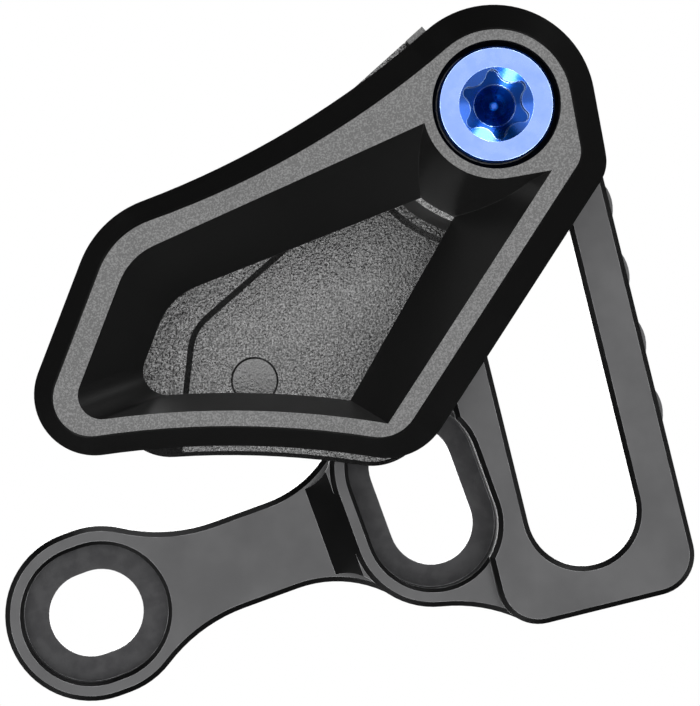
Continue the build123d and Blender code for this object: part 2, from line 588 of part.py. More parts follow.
def make_cage_bolt():
    """Flat-head bolt with a six-lobe socket, a bevelled socket mouth and a drilled centre."""
    head_top = SEAT_FLOOR + HEAD_HEIGHT
    tip = FLANGE_BACK - BOLT_TIP_REACH
    socket_floor = head_top - SOCKET_DEPTH
    sink = (SOCKET_TIP_RADIUS - PILOT_RADIUS) * tan(radians(SOCKET_FLOOR_ANGLE))
    pilot_floor = socket_floor - sink - PILOT_DEPTH
    point_height = PILOT_RADIUS / tan(radians(PILOT_POINT_ANGLE / 2))
    mouth_depth = (SOCKET_CHAMFER_RADIUS - PILOT_RADIUS) / tan(radians(SOCKET_CHAMFER_ANGLE / 2))
    profile = Polyline(
        (0, tip),
        (BOLT_RADIUS - TIP_CHAMFER, tip),
        (BOLT_RADIUS, tip + TIP_CHAMFER),
        (BOLT_RADIUS, SEAT_FLOOR),
        (HEAD_BOLT_RADIUS, SEAT_FLOOR),
        (HEAD_BOLT_RADIUS, head_top - HEAD_CHAMFER),
        (HEAD_BOLT_RADIUS - HEAD_CHAMFER, head_top),
        (SOCKET_CHAMFER_RADIUS, head_top),
        (PILOT_RADIUS, head_top - mouth_depth),
        (PILOT_RADIUS, pilot_floor),
        (0, pilot_floor - point_height),
        close=True,
    )
    bowl = Polyline(
        (0, socket_floor - sink),
        (PILOT_RADIUS, socket_floor - sink),
        (SOCKET_TIP_RADIUS, socket_floor),
        (SOCKET_TIP_RADIUS, head_top + OVERCUT),
        (0, head_top + OVERCUT),
        close=True,
    )
    bolt = at(0) * CAGE * revolve(Plane.XZ * make_face(profile), Axis.Z)
    sunk = at(0) * CAGE * revolve(Plane.XZ * make_face(bowl), Axis.Z)
    return bolt - (sunk & prism(CAGE * socket_outline(), tip, head_top + OVERCUT))


def main():
    """Build every piece and write each to its own file."""
    pieces = {
        "mount_plate": make_mount_plate(),
        "inner_cage": make_inner_cage(),
        "outer_cage": make_outer_cage(),
        "cage_bolt": make_cage_bolt(),
        "slider_nut": make_slider_nut(),
    }
    os.makedirs("parts", exist_ok=True)
    for name, piece in pieces.items():
        export_step(piece, f"parts/{name}.step")


if __name__ == "__main__":
    main()
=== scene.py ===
"""Looks of a two-bolt bicycle chain guide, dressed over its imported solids.

Lengths are in metres, in the frame of the solids. The front of the guide faces -Y, X runs right
and Z up. Colours are linear.
"""

import json
import logging
import math
from dataclasses import dataclass, field
from enum import Enum
from typing import ClassVar

import bmesh
import bpy
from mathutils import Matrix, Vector

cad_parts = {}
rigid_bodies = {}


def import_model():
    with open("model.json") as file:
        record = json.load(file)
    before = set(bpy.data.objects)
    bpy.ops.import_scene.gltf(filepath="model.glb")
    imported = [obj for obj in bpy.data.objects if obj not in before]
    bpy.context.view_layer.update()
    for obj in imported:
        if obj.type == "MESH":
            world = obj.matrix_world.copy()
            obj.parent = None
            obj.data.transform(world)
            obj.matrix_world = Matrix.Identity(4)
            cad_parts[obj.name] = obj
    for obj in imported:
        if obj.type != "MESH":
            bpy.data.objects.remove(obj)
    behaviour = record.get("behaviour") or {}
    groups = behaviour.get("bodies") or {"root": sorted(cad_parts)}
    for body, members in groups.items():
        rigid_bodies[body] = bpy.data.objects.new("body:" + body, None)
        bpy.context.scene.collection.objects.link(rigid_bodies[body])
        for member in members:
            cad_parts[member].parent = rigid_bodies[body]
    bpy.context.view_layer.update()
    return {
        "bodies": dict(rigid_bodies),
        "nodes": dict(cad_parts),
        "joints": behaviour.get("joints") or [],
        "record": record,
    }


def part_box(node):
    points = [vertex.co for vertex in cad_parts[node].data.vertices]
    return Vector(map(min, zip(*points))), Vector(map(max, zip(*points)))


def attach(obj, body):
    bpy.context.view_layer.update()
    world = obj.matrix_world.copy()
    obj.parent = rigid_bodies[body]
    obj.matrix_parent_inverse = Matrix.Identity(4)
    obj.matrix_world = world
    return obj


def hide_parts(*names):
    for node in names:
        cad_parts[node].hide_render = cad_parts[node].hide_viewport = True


LOG = logging.getLogger("chain_guide")
MM = 0.001
HALF = 0.5
FULL_TURN = 2 * math.pi
QUARTER_TURN = math.pi / 2

Colour = tuple[float, float, float]
Point = tuple[float, float, float]
Range = tuple[float, float]

ORIGIN: Point = (0.0, 0.0, 0.0)
FRONT: Point = (0.0, -1.0, 0.0)
BACK: Point = (0.0, 1.0, 0.0)
UP: Point = (0.0, 0.0, 1.0)
WITHOUT_DEPTH: Point = (1.0, 0.0, 1.0)


class Node(str, Enum):
    """Solids of the guide."""

    MOUNT_PLATE = "mount_plate"
    INNER_CAGE = "inner_cage"
    OUTER_CAGE = "outer_cage"
    CAGE_BOLT = "cage_bolt"
    SLIDER_NUT = "slider_nut"


class Socket(str, Enum):
    """Kinds of socket on a node group."""

    VALUE = "NodeSocketFloat"
    COUNT = "NodeSocketInt"
    VECTOR = "NodeSocketVector"
    MATERIAL = "NodeSocketMaterial"
    GEOMETRY = "NodeSocketGeometry"


class Graph:
    """Adds and joins the nodes of one node tree.

    Attributes:
        RANGE_INPUTS: Inputs of a Map Range node, in the order that ramp takes them.
        MIX_SHARE: Place of a Mix node's share among its inputs.
        MIX_COLOURS: Places of its two colours.
        MIX_RESULT: Place of the mixed colour among its outputs.
        OPAQUE: Alpha of every colour.
    """

    RANGE_INPUTS: ClassVar[tuple[str, ...]] = ("Value", "From Min", "From Max", "To Min", "To Max")
    MIX_SHARE: ClassVar[int] = 0
    MIX_COLOURS: ClassVar[slice] = slice(6, 8)
    MIX_RESULT: ClassVar[int] = 2
    OPAQUE: ClassVar[float] = 1.0

    def __init__(self, tree: bpy.types.NodeTree) -> None:
        """Keep the tree that the nodes go into.

        Args:
            tree: Node tree of a material, a world or a group.
        """
        self.tree = tree

    def add(self, kind: str, **settings: object) -> bpy.types.Node:
        """Add a node.

        Args:
            kind: Blender's type name of the node.
            settings: Properties of the node.

        Returns:
            The new node.
        """
        node = self.tree.nodes.new(kind)
        for name, value in settings.items():
            setattr(node, name, value)
        return node

    def feed(self, socket: bpy.types.NodeSocket, value: object) -> None:
        """Join a socket to another, or set its value.

        Args:
            socket: Input socket.
            value: Output socket to join, or a plain value.
        """
        if isinstance(value, bpy.types.NodeSocket):
            self.tree.links.new(value, socket)
        else:
            socket.default_value = value

    def math(self, operation: str, *values: object) -> bpy.types.NodeSocket:
        """Add a Math node.

        Args:
            operation: Name of the operation.
            values: Sockets or numbers for its inputs.

        Returns:
            The result.
        """
        node = self.add("ShaderNodeMath", operation=operation)
        for socket, value in zip(node.inputs, values):
            self.feed(socket, value)
        return node.outputs["Value"]

    def vector(
        self, operation: str, *values: object, output: str = "Vector"
    ) -> bpy.types.NodeSocket:
        """Add a Vector Math node.

        Args:
            operation: Name of the operation.
            values: Sockets or vectors for its inputs.
            output: Name of the output to use.

        Returns:
            The result.
        """
        node = self.add("ShaderNodeVectorMath", operation=operation)
        for socket, value in zip(node.inputs, values):
            self.feed(socket, value)
        return node.outputs[output]

    def dot(self, first: object, second: object) -> bpy.types.NodeSocket:
        """Give the dot product of two vectors."""
        return self.vector("DOT_PRODUCT", first, second, output="Value")

    def from_axis(self, place: object, centre: object) -> bpy.types.NodeSocket:
        """Measure the distance from an axis that runs along Y.

        Args:
            place: Coordinates.
            centre: Point on the axis.

        Returns:
            The distance.
        """
        away = self.vector("SUBTRACT", place, centre)
        return self.vector("LENGTH", self.vector("MULTIPLY", away, WITHOUT_DEPTH), output="Value")

    def ramp(
        self, value: object, low: object, high: float, start: object = 0.0, end: object = 1.0
    ) -> bpy.types.NodeSocket:
        """Map a value smoothly from one range to another.

        Args:
            value: Socket to map.
            low: Value that gives start.
            high: Value that gives end.
            start: Result on the side of low.
            end: Result on the side of high.

        Returns:
            The mapped value.
        """
        node = self.add("ShaderNodeMapRange", interpolation_type="SMOOTHSTEP")
        for name, item in zip(self.RANGE_INPUTS, (value, low, high, start, end)):
            self.feed(node.inputs[name], item)
        return node.outputs["Result"]

    def between(self, mask: object, first: object, second: object) -> bpy.types.NodeSocket:
        """Go smoothly from one value, where a mask is 0, to another, where it is 1."""
        return self.ramp(mask, 0.0, 1.0, first, second)

    def blend(self, share: object, first: object, second: object) -> bpy.types.NodeSocket:
        """Mix two colours.

        Args:
            share: Share of the second colour.
            first: Colour or socket.
            second: Colour or socket.

        Returns:
            The mixed colour.
        """
        node = self.add("ShaderNodeMix", data_type="RGBA")
        self.feed(node.inputs[self.MIX_SHARE], share)
        for socket, value in zip(node.inputs[self.MIX_COLOURS], (first, second)):
            self.feed(socket, (*value, self.OPAQUE) if isinstance(value, tuple) else value)
        return node.outputs[self.MIX_RESULT]

    def noise(
        self, place: object, size: object, detail: float = 2.0, rough: float = 0.5
    ) -> bpy.types.NodeSocket:
        """Add noise of one grain size.

        Args:
            place: Coordinates.
            size: Grain size, a number or a socket.
            detail: Octaves of finer noise.
            rough: Strength of the finer noise.

        Returns:
            Noise from 0 to 1.
        """
        scale = 1 / size if isinstance(size, float) else self.math("DIVIDE", 1.0, size)
        values = {"Vector": place, "Scale": scale, "Detail": detail, "Roughness": rough}
        node = self.add("ShaderNodeTexNoise")
        for name, value in values.items():
            self.feed(node.inputs[name], value)
        return node.outputs["Fac"]


@dataclass(frozen=True)
class Mottle:
    """Cloudy pattern of noise.

    Attributes:
        size: Size of a cloud.
        detail: Octaves of finer noise.
        rough: Strength of the finer noise.
    """

    size: float
    detail: float
    rough: float = 0.5

    def noise(self, graph: Graph, place: object) -> bpy.types.NodeSocket:
        """Add the pattern to a graph, at the given coordinates."""
        return graph.noise(place, self.size, self.detail, self.rough)


class SharedEffects:
    """Shader groups that several finishes use.

    Attributes:
        GRAIN_DETAIL: Octaves in the grain's main noise.
        PIT_DETAIL: Octaves in the noise of its pits.
        PIT_SHIFT: Distance between the two noises, so that they don't match.
        PIT_SIZE: Size of a pit as a share of the grain.
        BODY_SHARE: Share of the main noise in the height.
        PIT_SHARE: Share of the pits in the height.
        FLECK_SPREAD: Noise at which a fleck starts and is full.
        RING_DETAIL: Octaves in the noise of the tool rings.
        RING_ROUGH: Strength of the finer tool rings.
        FULL_FRONT: Share of the normal at which a face fully looks to the front.
        EDGE_SAMPLES: Samples of the bevel that finds the edges.
        EDGE_SPREAD: Match of the normals at which the rubbed, lighter edge starts and is full; it
            is partly real rubbing and partly a painted highlight.
        EDGE_PATCHES: Pattern that breaks up the rubbed edge and its painted highlight.
        PATCH_SPREAD: Noise at which a rubbed patch starts and is full.
        LEAST_WEAR_AND_GLINT: Share of the rubbing and painted highlight that is left between the
            patches.
    """

    GRAIN_DETAIL: ClassVar[float] = 1.5
    PIT_DETAIL: ClassVar[float] = 1.0
    PIT_SHIFT: ClassVar[Point] = (0.31, 0.17, 0.23)
    PIT_SIZE: ClassVar[float] = 0.55
    BODY_SHARE: ClassVar[float] = 0.65
    PIT_SHARE: ClassVar[float] = 0.35
    FLECK_SPREAD: ClassVar[Range] = (0.40, 0.68)
    RING_DETAIL: ClassVar[float] = 2.0
    RING_ROUGH: ClassVar[float] = 0.7
    FULL_FRONT: ClassVar[float] = 0.995
    EDGE_SAMPLES: ClassVar[int] = 6
    EDGE_SPREAD: ClassVar[Range] = (0.995, 0.93)
    EDGE_PATCHES: ClassVar[Mottle] = Mottle(size=1.4 * MM, detail=4.0)
    PATCH_SPREAD: ClassVar[Range] = (0.38, 0.62)
    LEAST_WEAR_AND_GLINT: ClassVar[float] = 0.25

    def __init__(self) -> None:
        """Build every group once."""
        self.grain = self._grain()
        self.rings = self._rings()
        self.facing = self._facing()
        self.edges = self._edges()

    @staticmethod
    def _open(
        name: str, inputs: dict[str, Socket], outputs: tuple[str, ...]
    ) -> tuple[Graph, bpy.types.Node, bpy.types.Node]:
        """Start a group with its sockets.

        Args:
            name: Name of the group.
            inputs: Kind of each input.
            outputs: Names of the outputs, which are all values.

        Returns:
            The group's graph, its input node and its output node.
        """
        tree = bpy.data.node_groups.new(name, "ShaderNodeTree")
        for label, kind in inputs.items():
            tree.interface.new_socket(label, in_out="INPUT", socket_type=kind.value)
        for label in outputs:
            tree.interface.new_socket(label, in_out="OUTPUT", socket_type=Socket.VALUE.value)
        graph = Graph(tree)
        return graph, graph.add("NodeGroupInput"), graph.add("NodeGroupOutput")

    def _grain(self) -> bpy.types.NodeTree:
        """Moulded or blasted grain.

        Returns:
            Group with a height and a mask of flecks.
        """
        graph, source, result = self._open(
            "surface_grain",
            {"Place": Socket.VECTOR, "Grain": Socket.VALUE},
            ("Height", "Flecks"),
        )
        place, grain = source.outputs["Place"], source.outputs["Grain"]
        body = graph.noise(place, grain, detail=self.GRAIN_DETAIL)
        shifted = graph.vector("ADD", place, self.PIT_SHIFT)
        pit_size = graph.math("MULTIPLY", grain, self.PIT_SIZE)
        pits = graph.noise(shifted, pit_size, detail=self.PIT_DETAIL)
        body_height = graph.math("MULTIPLY", body, self.BODY_SHARE)
        pit_height = graph.math("MULTIPLY", pits, self.PIT_SHARE)
        graph.feed(result.inputs["Height"], graph.math("ADD", body_height, pit_height))
        graph.feed(result.inputs["Flecks"], graph.ramp(pits, *self.FLECK_SPREAD))
        return graph.tree

    def _rings(self) -> bpy.types.NodeTree:
        """Fine tool rings round an axis that runs along Y.

        Returns:
            Group with a height.
        """
        graph, source, result = self._open(
            "tool_rings",
            {"Place": Socket.VECTOR, "Centre": Socket.VECTOR, "Pitch": Socket.VALUE},
            ("Height",),
        )
        place = source.outputs["Place"]
        line = graph.add("ShaderNodeCombineXYZ")
        graph.feed(line.inputs["X"], graph.from_axis(place, source.outputs["Centre"]))
        graph.feed(line.inputs["Y"], graph.dot(place, BACK))
        height = graph.noise(
            line.outputs["Vector"], source.outputs["Pitch"], self.RING_DETAIL, self.RING_ROUGH
        )
        graph.feed(result.inputs["Height"], height)
        return graph.tree

    def _facing(self) -> bpy.types.NodeTree:
        """Mask of the faces that look to the front.

        Returns:
            Group with a mask and the share of the normal that looks to the front.
        """
        graph, source, result = self._open(
            "front_faces",
            {"Normal": Socket.VECTOR, "Reach": Socket.VALUE},
            ("Mask", "Turn"),
        )
        turn = graph.dot(source.outputs["Normal"], FRONT)
        mask = graph.ramp(turn, source.outputs["Reach"], self.FULL_FRONT)
        graph.feed(result.inputs["Mask"], mask)
        graph.feed(result.inputs["Turn"], turn)
        return graph.tree

    def _edges(self) -> bpy.types.NodeTree:
        """Light rubbing and a painted highlight along sharp edges, broken up into patches.

        Returns:
            Group with a mask.
        """
        graph, source, result = self._open(
            "edge_wear_and_glint",
            {"Place": Socket.VECTOR, "Width": Socket.VALUE, "Amount": Socket.VALUE},
            ("Mask",),
        )
        # Painted highlight: this mask lightens the colour along sharp edges, standing in for light
        # caught by their rounding, as well as for real rubbing.
        rounded = graph.add("ShaderNodeBevel", samples=self.EDGE_SAMPLES)
        graph.feed(rounded.inputs["Radius"], source.outputs["Width"])
        plain = graph.add("ShaderNodeNewGeometry")
        match = graph.dot(rounded.outputs["Normal"], plain.outputs["Normal"])
        edge = graph.ramp(match, *self.EDGE_SPREAD)
        noise = self.EDGE_PATCHES.noise(graph, source.outputs["Place"])
        patches = graph.ramp(noise, *self.PATCH_SPREAD, start=self.LEAST_WEAR_AND_GLINT)
        worn_and_glint = graph.math("MULTIPLY", edge, patches)
        graph.feed(result.inputs["Mask"], graph.math("MULTIPLY", worn_and_glint, source.outputs["Amount"]))
        return graph.tree


def new_material(name: str) -> tuple[bpy.types.Material, Graph, bpy.types.Node]:
    """Start a material.

    Args:
        name: Name of the material.

    Returns:
        The material, its graph and its shader node.
    """
    material = bpy.data.materials.new(name)
    material.use_nodes = True
    graph = Graph(material.node_tree)
    return material, graph, graph.tree.nodes["Principled BSDF"]


@dataclass(frozen=True)
class Finish:
    """What every finish of the guide has.

    Attributes:
        name: Name of the material.
        colour: Main colour.
        worn_and_glint: Lighter colour along rubbed edges; partly real rubbing, partly a painted
            highlight.
        roughness: Main roughness.
        wear_and_glint: Amount of the rubbed, lighter edges, which are partly a painted highlight.
        edge: Width of the rubbed, lighter edge.
        FRONT_REACH: Share of the normal at which a face starts to look to the front.
        SATIN_SPREAD: Noise at which the roughness is least and greatest.
        SATIN_SWING: How far the roughness swings either way.
        METAL: Metallic value of a metal.
    """

    FRONT_REACH: ClassVar[float] = 0.9
    SATIN_SPREAD: ClassVar[Range] = (0.3, 0.7)
    SATIN_SWING: ClassVar[float] = 0.03
    METAL: ClassVar[float] = 1.0

    name: str
    colour: Colour
    worn_and_glint: Colour
    roughness: float
    wear_and_glint: float
    edge: float

    def effect(self, graph: Graph, group: bpy.types.NodeTree, **inputs: object) -> bpy.types.Node:
        """Put a shared group into a material.

        Args:
            graph: Graph of the material.
            group: Shared group.
            inputs: Values or sockets for the group's inputs.

        Returns:
            The group's node.
        """
        node = graph.add("ShaderNodeGroup", node_tree=group)
        for name, value in inputs.items():
            graph.feed(node.inputs[name], value)
        return node

    def facing(self, graph: Graph, effects: SharedEffects, normal: object) -> bpy.types.Node:
        """Put in the group that finds the faces that look to the front."""
        return self.effect(graph, effects.facing, Normal=normal, Reach=self.FRONT_REACH)

    def wear_and_glint_edges(
        self, graph: Graph, effects: SharedEffects, place: object, colour: object
    ) -> bpy.types.NodeSocket:
        """Lay the rubbed edges, lightened partly as a painted highlight, over a colour.

        Args:
            graph: Graph of the material.
            effects: Shared groups.
            place: Coordinates.
            colour: Colour of the rest.

        Returns:
            The colour with its rubbed, highlighted edges.
        """
        node = self.effect(graph, effects.edges, Place=place, Width=self.edge, Amount=self.wear_and_glint)
        # Painted highlight: sharp edges take the lighter edge colour.
        return graph.blend(node.outputs["Mask"], colour, self.worn_and_glint)

    def satin(self, graph: Graph, clouds: object) -> bpy.types.NodeSocket:
        """Vary the roughness a little with a cloudy pattern.

        Args:
            graph: Graph of the material.
            clouds: Noise of the pattern.

        Returns:
            The roughness.
        """
        least, most = self.roughness - self.SATIN_SWING, self.roughness + self.SATIN_SWING
        return graph.ramp(clouds, *self.SATIN_SPREAD, start=least, end=most)

    def bump(
        self, graph: Graph, height: object, depth: float, under: object = None
    ) -> bpy.types.NodeSocket:
        """Turn a height into a normal.

        Args:
            graph: Graph of the material.
            height: Height from 0 to 1.
            depth: Depth of a full height.
            under: Normal to lay it over.

        Returns:
            The normal.
        """
        node = graph.add("ShaderNodeBump")
        graph.feed(node.inputs["Distance"], depth)
        graph.feed(node.inputs["Height"], height)
        if under is not None:
            graph.feed(node.inputs["Normal"], under)
        return node.outputs["Normal"]


@dataclass(frozen=True)
class SmoothSpot:
    """Smooth round mark that an ejector pin leaves on a moulding.

    Attributes:
        middle: Point on the axis of the pin.
        radius: Radius of the mark.
        EDGE: Shares of the radius at which the grain around the mark starts and is full.
        GRAIN_LEFT: Share of the grain that is left on the mark.
    """

    EDGE: ClassVar[Range] = (0.97, 1.01)
    GRAIN_LEFT: ClassVar[float] = 0.3

    middle: Point
    radius: float

    def grain_share(self, graph: Graph, place: object) -> bpy.types.NodeSocket:
        """Work out how much of the grain each place keeps.

        Args:
            graph: Graph of the material.
            place: Coordinates.

        Returns:
            The share of the grain.
        """
        inside, outside = (self.radius * share for share in self.EDGE)
        away = graph.from_axis(place, self.middle)
        return graph.ramp(away, inside, outside, start=self.GRAIN_LEFT)


@dataclass(frozen=True)
class MouldedNylon(Finish):
    """Moulded black nylon with a spark-eroded grain.

    Attributes:
        flecked: Colour of the lighter flecks.
        grain: Size of the grain.
        depth: Depth of the grain on faces that look to the front.
        wall_depth: Depth of the grain on other faces.
        specular: Strength of the mirror reflection.
        wall_roughness: Roughness of sloping faces.
        steep_roughness: Roughness of faces that are nearly square to the front.
        spot: Smooth round mark, if there is one.
        CLOUDS: Pattern in the roughness.
        STEEP_SPREAD: Shares of the normal at which a face counts as steep and as sloping.
    """

    CLOUDS: ClassVar[Mottle] = Mottle(size=6.0 * MM, detail=3.0)
    STEEP_SPREAD: ClassVar[Range] = (0.24, 0.40)

    flecked: Colour
    grain: float
    depth: float
    wall_depth: float
    specular: float
    wall_roughness: float
    steep_roughness: float
    spot: SmoothSpot | None = None

    def make(self, effects: SharedEffects) -> bpy.types.Material:
        """Build the material.

        Args:
            effects: Shared groups.

        Returns:
            The material.
        """
        material, graph, shader = new_material(self.name)
        coordinates = graph.add("ShaderNodeTexCoord").outputs
        place = coordinates["Object"]
        facing = self.facing(graph, effects, coordinates["Normal"])
        front = facing.outputs["Mask"]
        grain = self.effect(graph, effects.grain, Place=place, Grain=self.grain)
        grainy = front
        if self.spot is not None:
            grainy = graph.math("MULTIPLY", front, self.spot.grain_share(graph, place))
        depth = graph.between(grainy, self.wall_depth / self.depth, 1.0)
        height = graph.math("MULTIPLY", grain.outputs["Height"], depth)
        flecks = graph.math("MULTIPLY", grain.outputs["Flecks"], grainy)
        colour = graph.blend(flecks, self.colour, self.flecked)
        satin = self.satin(graph, self.CLOUDS.noise(graph, place))
        turn = facing.outputs["Turn"]
        wall = graph.ramp(turn, *self.STEEP_SPREAD, self.steep_roughness, self.wall_roughness)
        graph.feed(shader.inputs["Base Color"], self.wear_and_glint_edges(graph, effects, place, colour))
        graph.feed(shader.inputs["Roughness"], graph.between(front, wall, satin))
        graph.feed(shader.inputs["Specular IOR Level"], self.specular)
        graph.feed(shader.inputs["Normal"], self.bump(graph, height, self.depth))
        return material


@dataclass(frozen=True)
class AnodisedPlate(Finish):
    """Machined and black anodised metal with a satin face and milled bolt seats.

    Attributes:
        grain: Size of the blasted grain.
        depth: Depth of the grain.
        seats: Middles of the milled seats.
        seat_height: Height of the seats' floors above the frame face.
        seat_colour: Colour of the seats, and of the clouds on the rest.
        seat_stain: Second colour of the seats, in blotches.
        blotches: Pattern of the blotches.
        seat_roughness: Roughness of the seats.
        ring_pitch: Pitch of the mill's rings in the seats.
        ring_depth: Depth of those rings.
        CLOUDS: Pattern in the colour and the roughness of the face.
        CLOUD_SHARE: Share of the second colour in the clouds.
        BLOTCH_SPREAD: Noise at which a blotch starts and is full.
        SEAT_FADE: Heights above a seat's floor at which the seat starts to fade and ends.
    """

    CLOUDS: ClassVar[Mottle] = Mottle(size=7.0 * MM, detail=4.0, rough=0.6)
    CLOUD_SHARE: ClassVar[float] = 0.35
    BLOTCH_SPREAD: ClassVar[Range] = (0.35, 0.65)
    SEAT_FADE: ClassVar[Range] = (0.02 * MM, 0.3 * MM)

    grain: float
    depth: float
    seats: tuple[Point, ...]
    seat_height: float
    seat_colour: Colour
    seat_stain: Colour
    blotches: Mottle
    seat_roughness: float
    ring_pitch: float
    ring_depth: float

    def make(self, effects: SharedEffects) -> bpy.types.Material:
        """Build the material.

        Args:
            effects: Shared groups.

        Returns:
            The material.
        """
        material, graph, shader = new_material(self.name)
        coordinates = graph.add("ShaderNodeTexCoord").outputs
        place = coordinates["Object"]
        front = self.facing(graph, effects, coordinates["Normal"]).outputs["Mask"]
        fade = (self.seat_height + rise for rise in self.SEAT_FADE)
        low = graph.ramp(graph.dot(place, FRONT), *fade, start=1.0, end=0.0)
        seat = graph.math("MULTIPLY", low, front)
        clouds = self.CLOUDS.noise(graph, place)
        cloudy = graph.ramp(clouds, *self.SATIN_SPREAD, end=self.CLOUD_SHARE)
        blotched = graph.ramp(self.blotches.noise(graph, place), *self.BLOTCH_SPREAD)
        face_colour = graph.blend(cloudy, self.colour, self.seat_colour)
        seat_colour = graph.blend(blotched, self.seat_colour, self.seat_stain)
        colour = graph.blend(seat, face_colour, seat_colour)
        roughness = graph.between(seat, self.satin(graph, clouds), self.seat_roughness)
        graph.feed(shader.inputs["Base Color"], self.wear_and_glint_edges(graph, effects, place, colour))
        graph.feed(shader.inputs["Metallic"], self.METAL)
        graph.feed(shader.inputs["Roughness"], roughness)
        grain = self.effect(graph, effects.grain, Place=place, Grain=self.grain)
        normal = self.bump(graph, grain.outputs["Height"], self.depth)
        for middle in self.seats:
            rings = self.effect(
                graph, effects.rings, Place=place, Centre=middle, Pitch=self.ring_pitch
            )
            height = graph.math("MULTIPLY", rings.outputs["Height"], seat)
            normal = self.bump(graph, height, self.ring_depth, normal)
        graph.feed(shader.inputs["Normal"], normal)
        return material


@dataclass
class TurnedLayers:
    """Layers of a turned finish on their way to the shader.

    Attributes:
        material: Material that they belong to.
        graph: Graph of the material.
        shader: Shader of the material.
        place: Coordinates.
        front: Mask of the faces that look to the front.
        clouds: Noise of the cloudy pattern.
        colour: Colour before the edges are worn.
        height: Height of the tool rings.
    """

    material: bpy.types.Material
    graph: Graph
    shader: bpy.types.Node
    place: bpy.types.NodeSocket
    front: bpy.types.NodeSocket
    clouds: bpy.types.NodeSocket
    colour: bpy.types.NodeSocket
    height: bpy.types.NodeSocket


@dataclass(frozen=True)
class TurnedAnodised(Finish):
    """Turned and anodised metal with fine tool rings.

    Attributes:
        centre: Point on the axis of turning.
        ring_pitch: Pitch of the tool rings.
        ring_depth: Depth of the tool rings.
        stain: Second colour, in clouds.
        side: Colour of the faces that do not look to the front. Where it differs from the main
            colour, the two are lit and shaded copies of one colour, and the main colour on the
            front is a painted highlight.
        CLOUDS: Pattern in the colour and the roughness.
        STAIN_SPREAD: Noise at which a cloud starts and is full.
        STAIN_SHARE: Share of the second colour in a full cloud.
    """

    CLOUDS: ClassVar[Mottle] = Mottle(size=1.6 * MM, detail=4.0, rough=0.6)
    STAIN_SPREAD: ClassVar[Range] = (0.35, 0.65)
    STAIN_SHARE: ClassVar[float] = 0.6
    SATIN_SWING: ClassVar[float] = 0.04

    centre: Point
    ring_pitch: float
    ring_depth: float
    stain: Colour
    side: Colour

    def lay(self, effects: SharedEffects) -> TurnedLayers:
        """Start the material with its colour and its tool rings.

        Args:
            effects: Shared groups.

        Returns:
            The layers.
        """
        material, graph, shader = new_material(self.name)
        coordinates = graph.add("ShaderNodeTexCoord").outputs
        place = coordinates["Object"]
        front = self.facing(graph, effects, coordinates["Normal"]).outputs["Mask"]
        rings = self.effect(
            graph, effects.rings, Place=place, Centre=self.centre, Pitch=self.ring_pitch
        )
        clouds = self.CLOUDS.noise(graph, place)
        stained = graph.ramp(clouds, *self.STAIN_SPREAD, end=self.STAIN_SHARE)
        # Faces that look to the front take the main colour and the rest take the side colour: on
        # the bolt these are lit and shaded copies of one blue, with a greyer front as a painted
        # highlight.
        colour = graph.blend(front, self.side, graph.blend(stained, self.colour, self.stain))
        height = rings.outputs["Height"]
        return TurnedLayers(material, graph, shader, place, front, clouds, colour, height)

    def make(self, effects: SharedEffects) -> bpy.types.Material:
        """Build the material.

        Args:
            effects: Shared groups.

        Returns:
            The material.
        """
        layers = self.lay(effects)
        graph, inputs = layers.graph, layers.shader.inputs
        colour = self.wear_and_glint_edges(graph, effects, layers.place, layers.colour)
        graph.feed(inputs["Base Color"], colour)
        graph.feed(inputs["Metallic"], self.METAL)
        graph.feed(inputs["Roughness"], self.satin(graph, layers.clouds))
        graph.feed(inputs["Normal"], self.bump(graph, layers.height, self.ring_depth))
        return layers.material


@dataclass(frozen=True)
class Recess:
    """Round place sunk into the front of a turned piece, darkened with painted shade or given
    deeper tool rings.

    Attributes:
        radius: Radius of the place.
        height: Height above the frame face below which it starts.
        fade: Depth over which it comes to its full strength.
        amount: Full strength.
    """

    radius: float
    height: float
    fade: float
    amount: float

    def mask(self, graph: Graph, place: object, centre: Point) -> bpy.types.NodeSocket:
        """Mark the place in a material.

        Args:
            graph: Graph of the material.
            place: Coordinates.
            centre: Point on the axis of the piece.

        Returns:
            Mask from 0 to the amount.
        """
        height = graph.dot(place, FRONT)
        full = self.height - self.fade
        deep = graph.ramp(height, full, self.height, start=self.amount, end=0.0)
        inside = graph.math("LESS_THAN", graph.from_axis(place, centre), self.radius)
        return graph.math("MULTIPLY", deep, inside)


@dataclass(frozen=True)
class ClearAnodised(TurnedAnodised):
    """Turned metal under a clear oxide layer, with a key socket and a drilled centre.

    Attributes:
        coat: Weight of the clear layer on the front.
        side_coat: Weight of that layer elsewhere.
        coat_roughness: Roughness of that layer.
        painted_socket_shade: Darker colour of the socket, painted shade for the deep socket.
        socket: Recess that a key fits into, without the clear layer and darkened with painted
            shade.
        drilled: Recess with deeper tool rings.
    """

    coat: float
    side_coat: float
    coat_roughness: float
    painted_socket_shade: Colour
    socket: Recess
    drilled: Recess

    def lay(self, effects: SharedEffects) -> TurnedLayers:
        """Add the clear layer, the painted shade in the socket and the deeper rings of the drilled
        centre.

        Args:
            effects: Shared groups.

        Returns:
            The layers.
        """
        layers = super().lay(effects)
        graph, inputs = layers.graph, layers.shader.inputs
        sunk = self.socket.mask(graph, layers.place, self.centre)
        clear = graph.between(layers.front, self.side_coat, self.coat)
        coat = graph.math("MULTIPLY", clear, graph.math("SUBTRACT", 1.0, sunk))
        graph.feed(inputs["Coat Weight"], coat)
        graph.feed(inputs["Coat Roughness"], self.coat_roughness)
        drilled = self.drilled.mask(graph, layers.place, self.centre)
        deeper = graph.math("ADD", drilled, 1.0)
        # Painted shade: the deep key socket takes a darker blue.
        layers.colour = graph.blend(sunk, layers.colour, self.painted_socket_shade)
        layers.height = graph.math("MULTIPLY", layers.height, deeper)
        return layers


